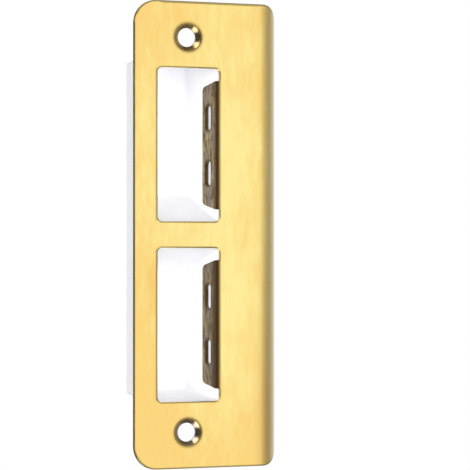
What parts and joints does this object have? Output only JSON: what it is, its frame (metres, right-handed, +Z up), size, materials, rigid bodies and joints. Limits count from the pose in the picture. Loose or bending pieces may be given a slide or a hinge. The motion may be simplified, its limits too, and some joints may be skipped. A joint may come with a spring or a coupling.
{
  "type": "door strike plate with dust box",
  "caption": "Tall satin gold strike plate with rounded corners, keep openings with folded slotted tabs, countersunk screw holes and a rolled lip, over a white plastic dust box.",
  "frame": {"origin": "midway between the two screw holes, in the plane of the plate's back face", "axes": "+X across the plate towards the rolled lip, +Y back into the door frame, +Z up the plate's length; the plate's front faces -Y"},
  "size_m": [0.0535, 0.032, 0.16],
  "materials": {
    "plate": "gold plated, brushed along its length, satin",
    "box": "white moulded plastic, matt"
  },
  "bodies": {
    "root": {"strike_plate": "plate", "dust_box": "box"}
  },
  "joints": []
}
